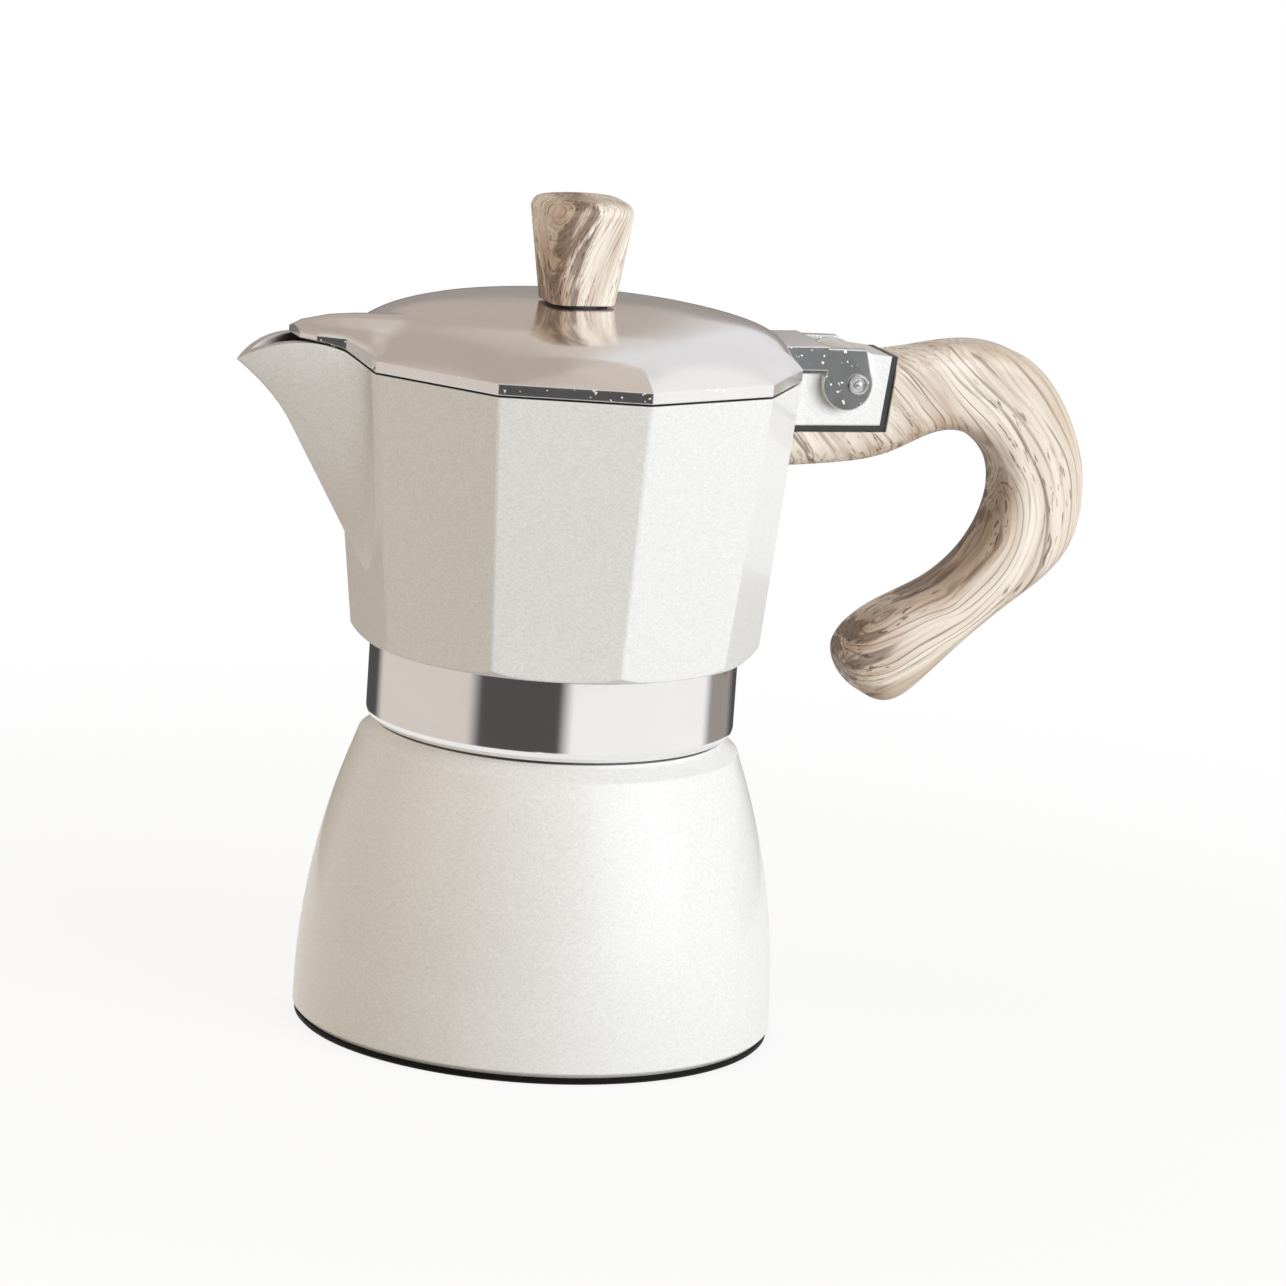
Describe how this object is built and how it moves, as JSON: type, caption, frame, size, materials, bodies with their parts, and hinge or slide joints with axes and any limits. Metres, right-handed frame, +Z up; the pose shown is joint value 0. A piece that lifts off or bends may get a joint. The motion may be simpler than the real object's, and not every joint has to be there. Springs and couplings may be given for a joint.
{
  "type": "moka pot",
  "caption": "Stove-top coffee maker: round boiler, screw-on faceted upper chamber with beak spout, hinged domed lid with square knob, curved handle, lift-out funnel and safety valve.",
  "frame": {"origin": "centre of the base plate's underside, on the pot's axis", "axes": "+Z up along the pot's axis, +X towards the handle, -X towards the spout, +Y towards the safety valve"},
  "size_m": [0.1678, 0.0946, 0.1572],
  "materials": {
    "pearl_paint": "pearl white paint with a fine sparkle, over cast aluminium",
    "polished_metal": "mirror polished",
    "bare_aluminium": "satin",
    "steel": "turned",
    "brass": "machined",
    "silicone": "matte",
    "grain_plastic": "satin, with a pale wood-grain pattern",
    "black_plastic": "satin"
  },
  "bodies": {
    "boiler": {"boiler": "pearl_paint", "base_plate": "steel", "valve_body": "brass", "valve_seal": "silicone", "valve_seat": "brass", "valve_spring": "steel"},
    "valve_plunger": {"valve_plunger": "brass"},
    "funnel": {"funnel": "bare_aluminium", "funnel_disc": "bare_aluminium"},
    "seal": {"gasket": "silicone", "filter_plate": "bare_aluminium"},
    "upper": {"upper_chamber": "pearl_paint", "collar": "polished_metal", "coffee_column": "bare_aluminium", "hinge_pin": "steel", "handle": "grain_plastic", "handle_seat": "black_plastic", "handle_screw": "steel"},
    "lid": {"lid": "polished_metal", "knob": "grain_plastic", "knob_washer": "black_plastic", "knob_screw": "steel"}
  },
  "joints": [
    {"name": "valve_lift", "type": "slide", "parent": "boiler", "child": "valve_plunger", "axis": [0, 1, 0], "range_m": [0, 0.0012], "stiffness_N_per_m": 300, "deforming": ["valve_spring"]},
    {"name": "lift_out", "type": "slide", "parent": "boiler", "child": "funnel", "axis": [0, 0, 1], "range_m": [0, 0.07]},
    {"name": "thread_rise", "type": "slide", "parent": "funnel", "child": "seal", "axis": [0, 0, 1], "range_m": [0, 0.0091]},
    {"name": "thread_turn", "type": "hinge", "parent": "seal", "child": "upper", "pos_m": [0, 0, 0.065], "axis": [0, 0, 1], "range_deg": [0, 1080]},
    {"name": "lid_hinge", "type": "hinge", "parent": "upper", "child": "lid", "pos_m": [0.0535, 0, 0.1238], "axis": [0, 1, 0], "range_deg": [0, 95]}
  ],
  "couplings": [
    {"joint": "thread_rise", "follows": "thread_turn", "m_per_rad": 0.00047746}
  ]
}
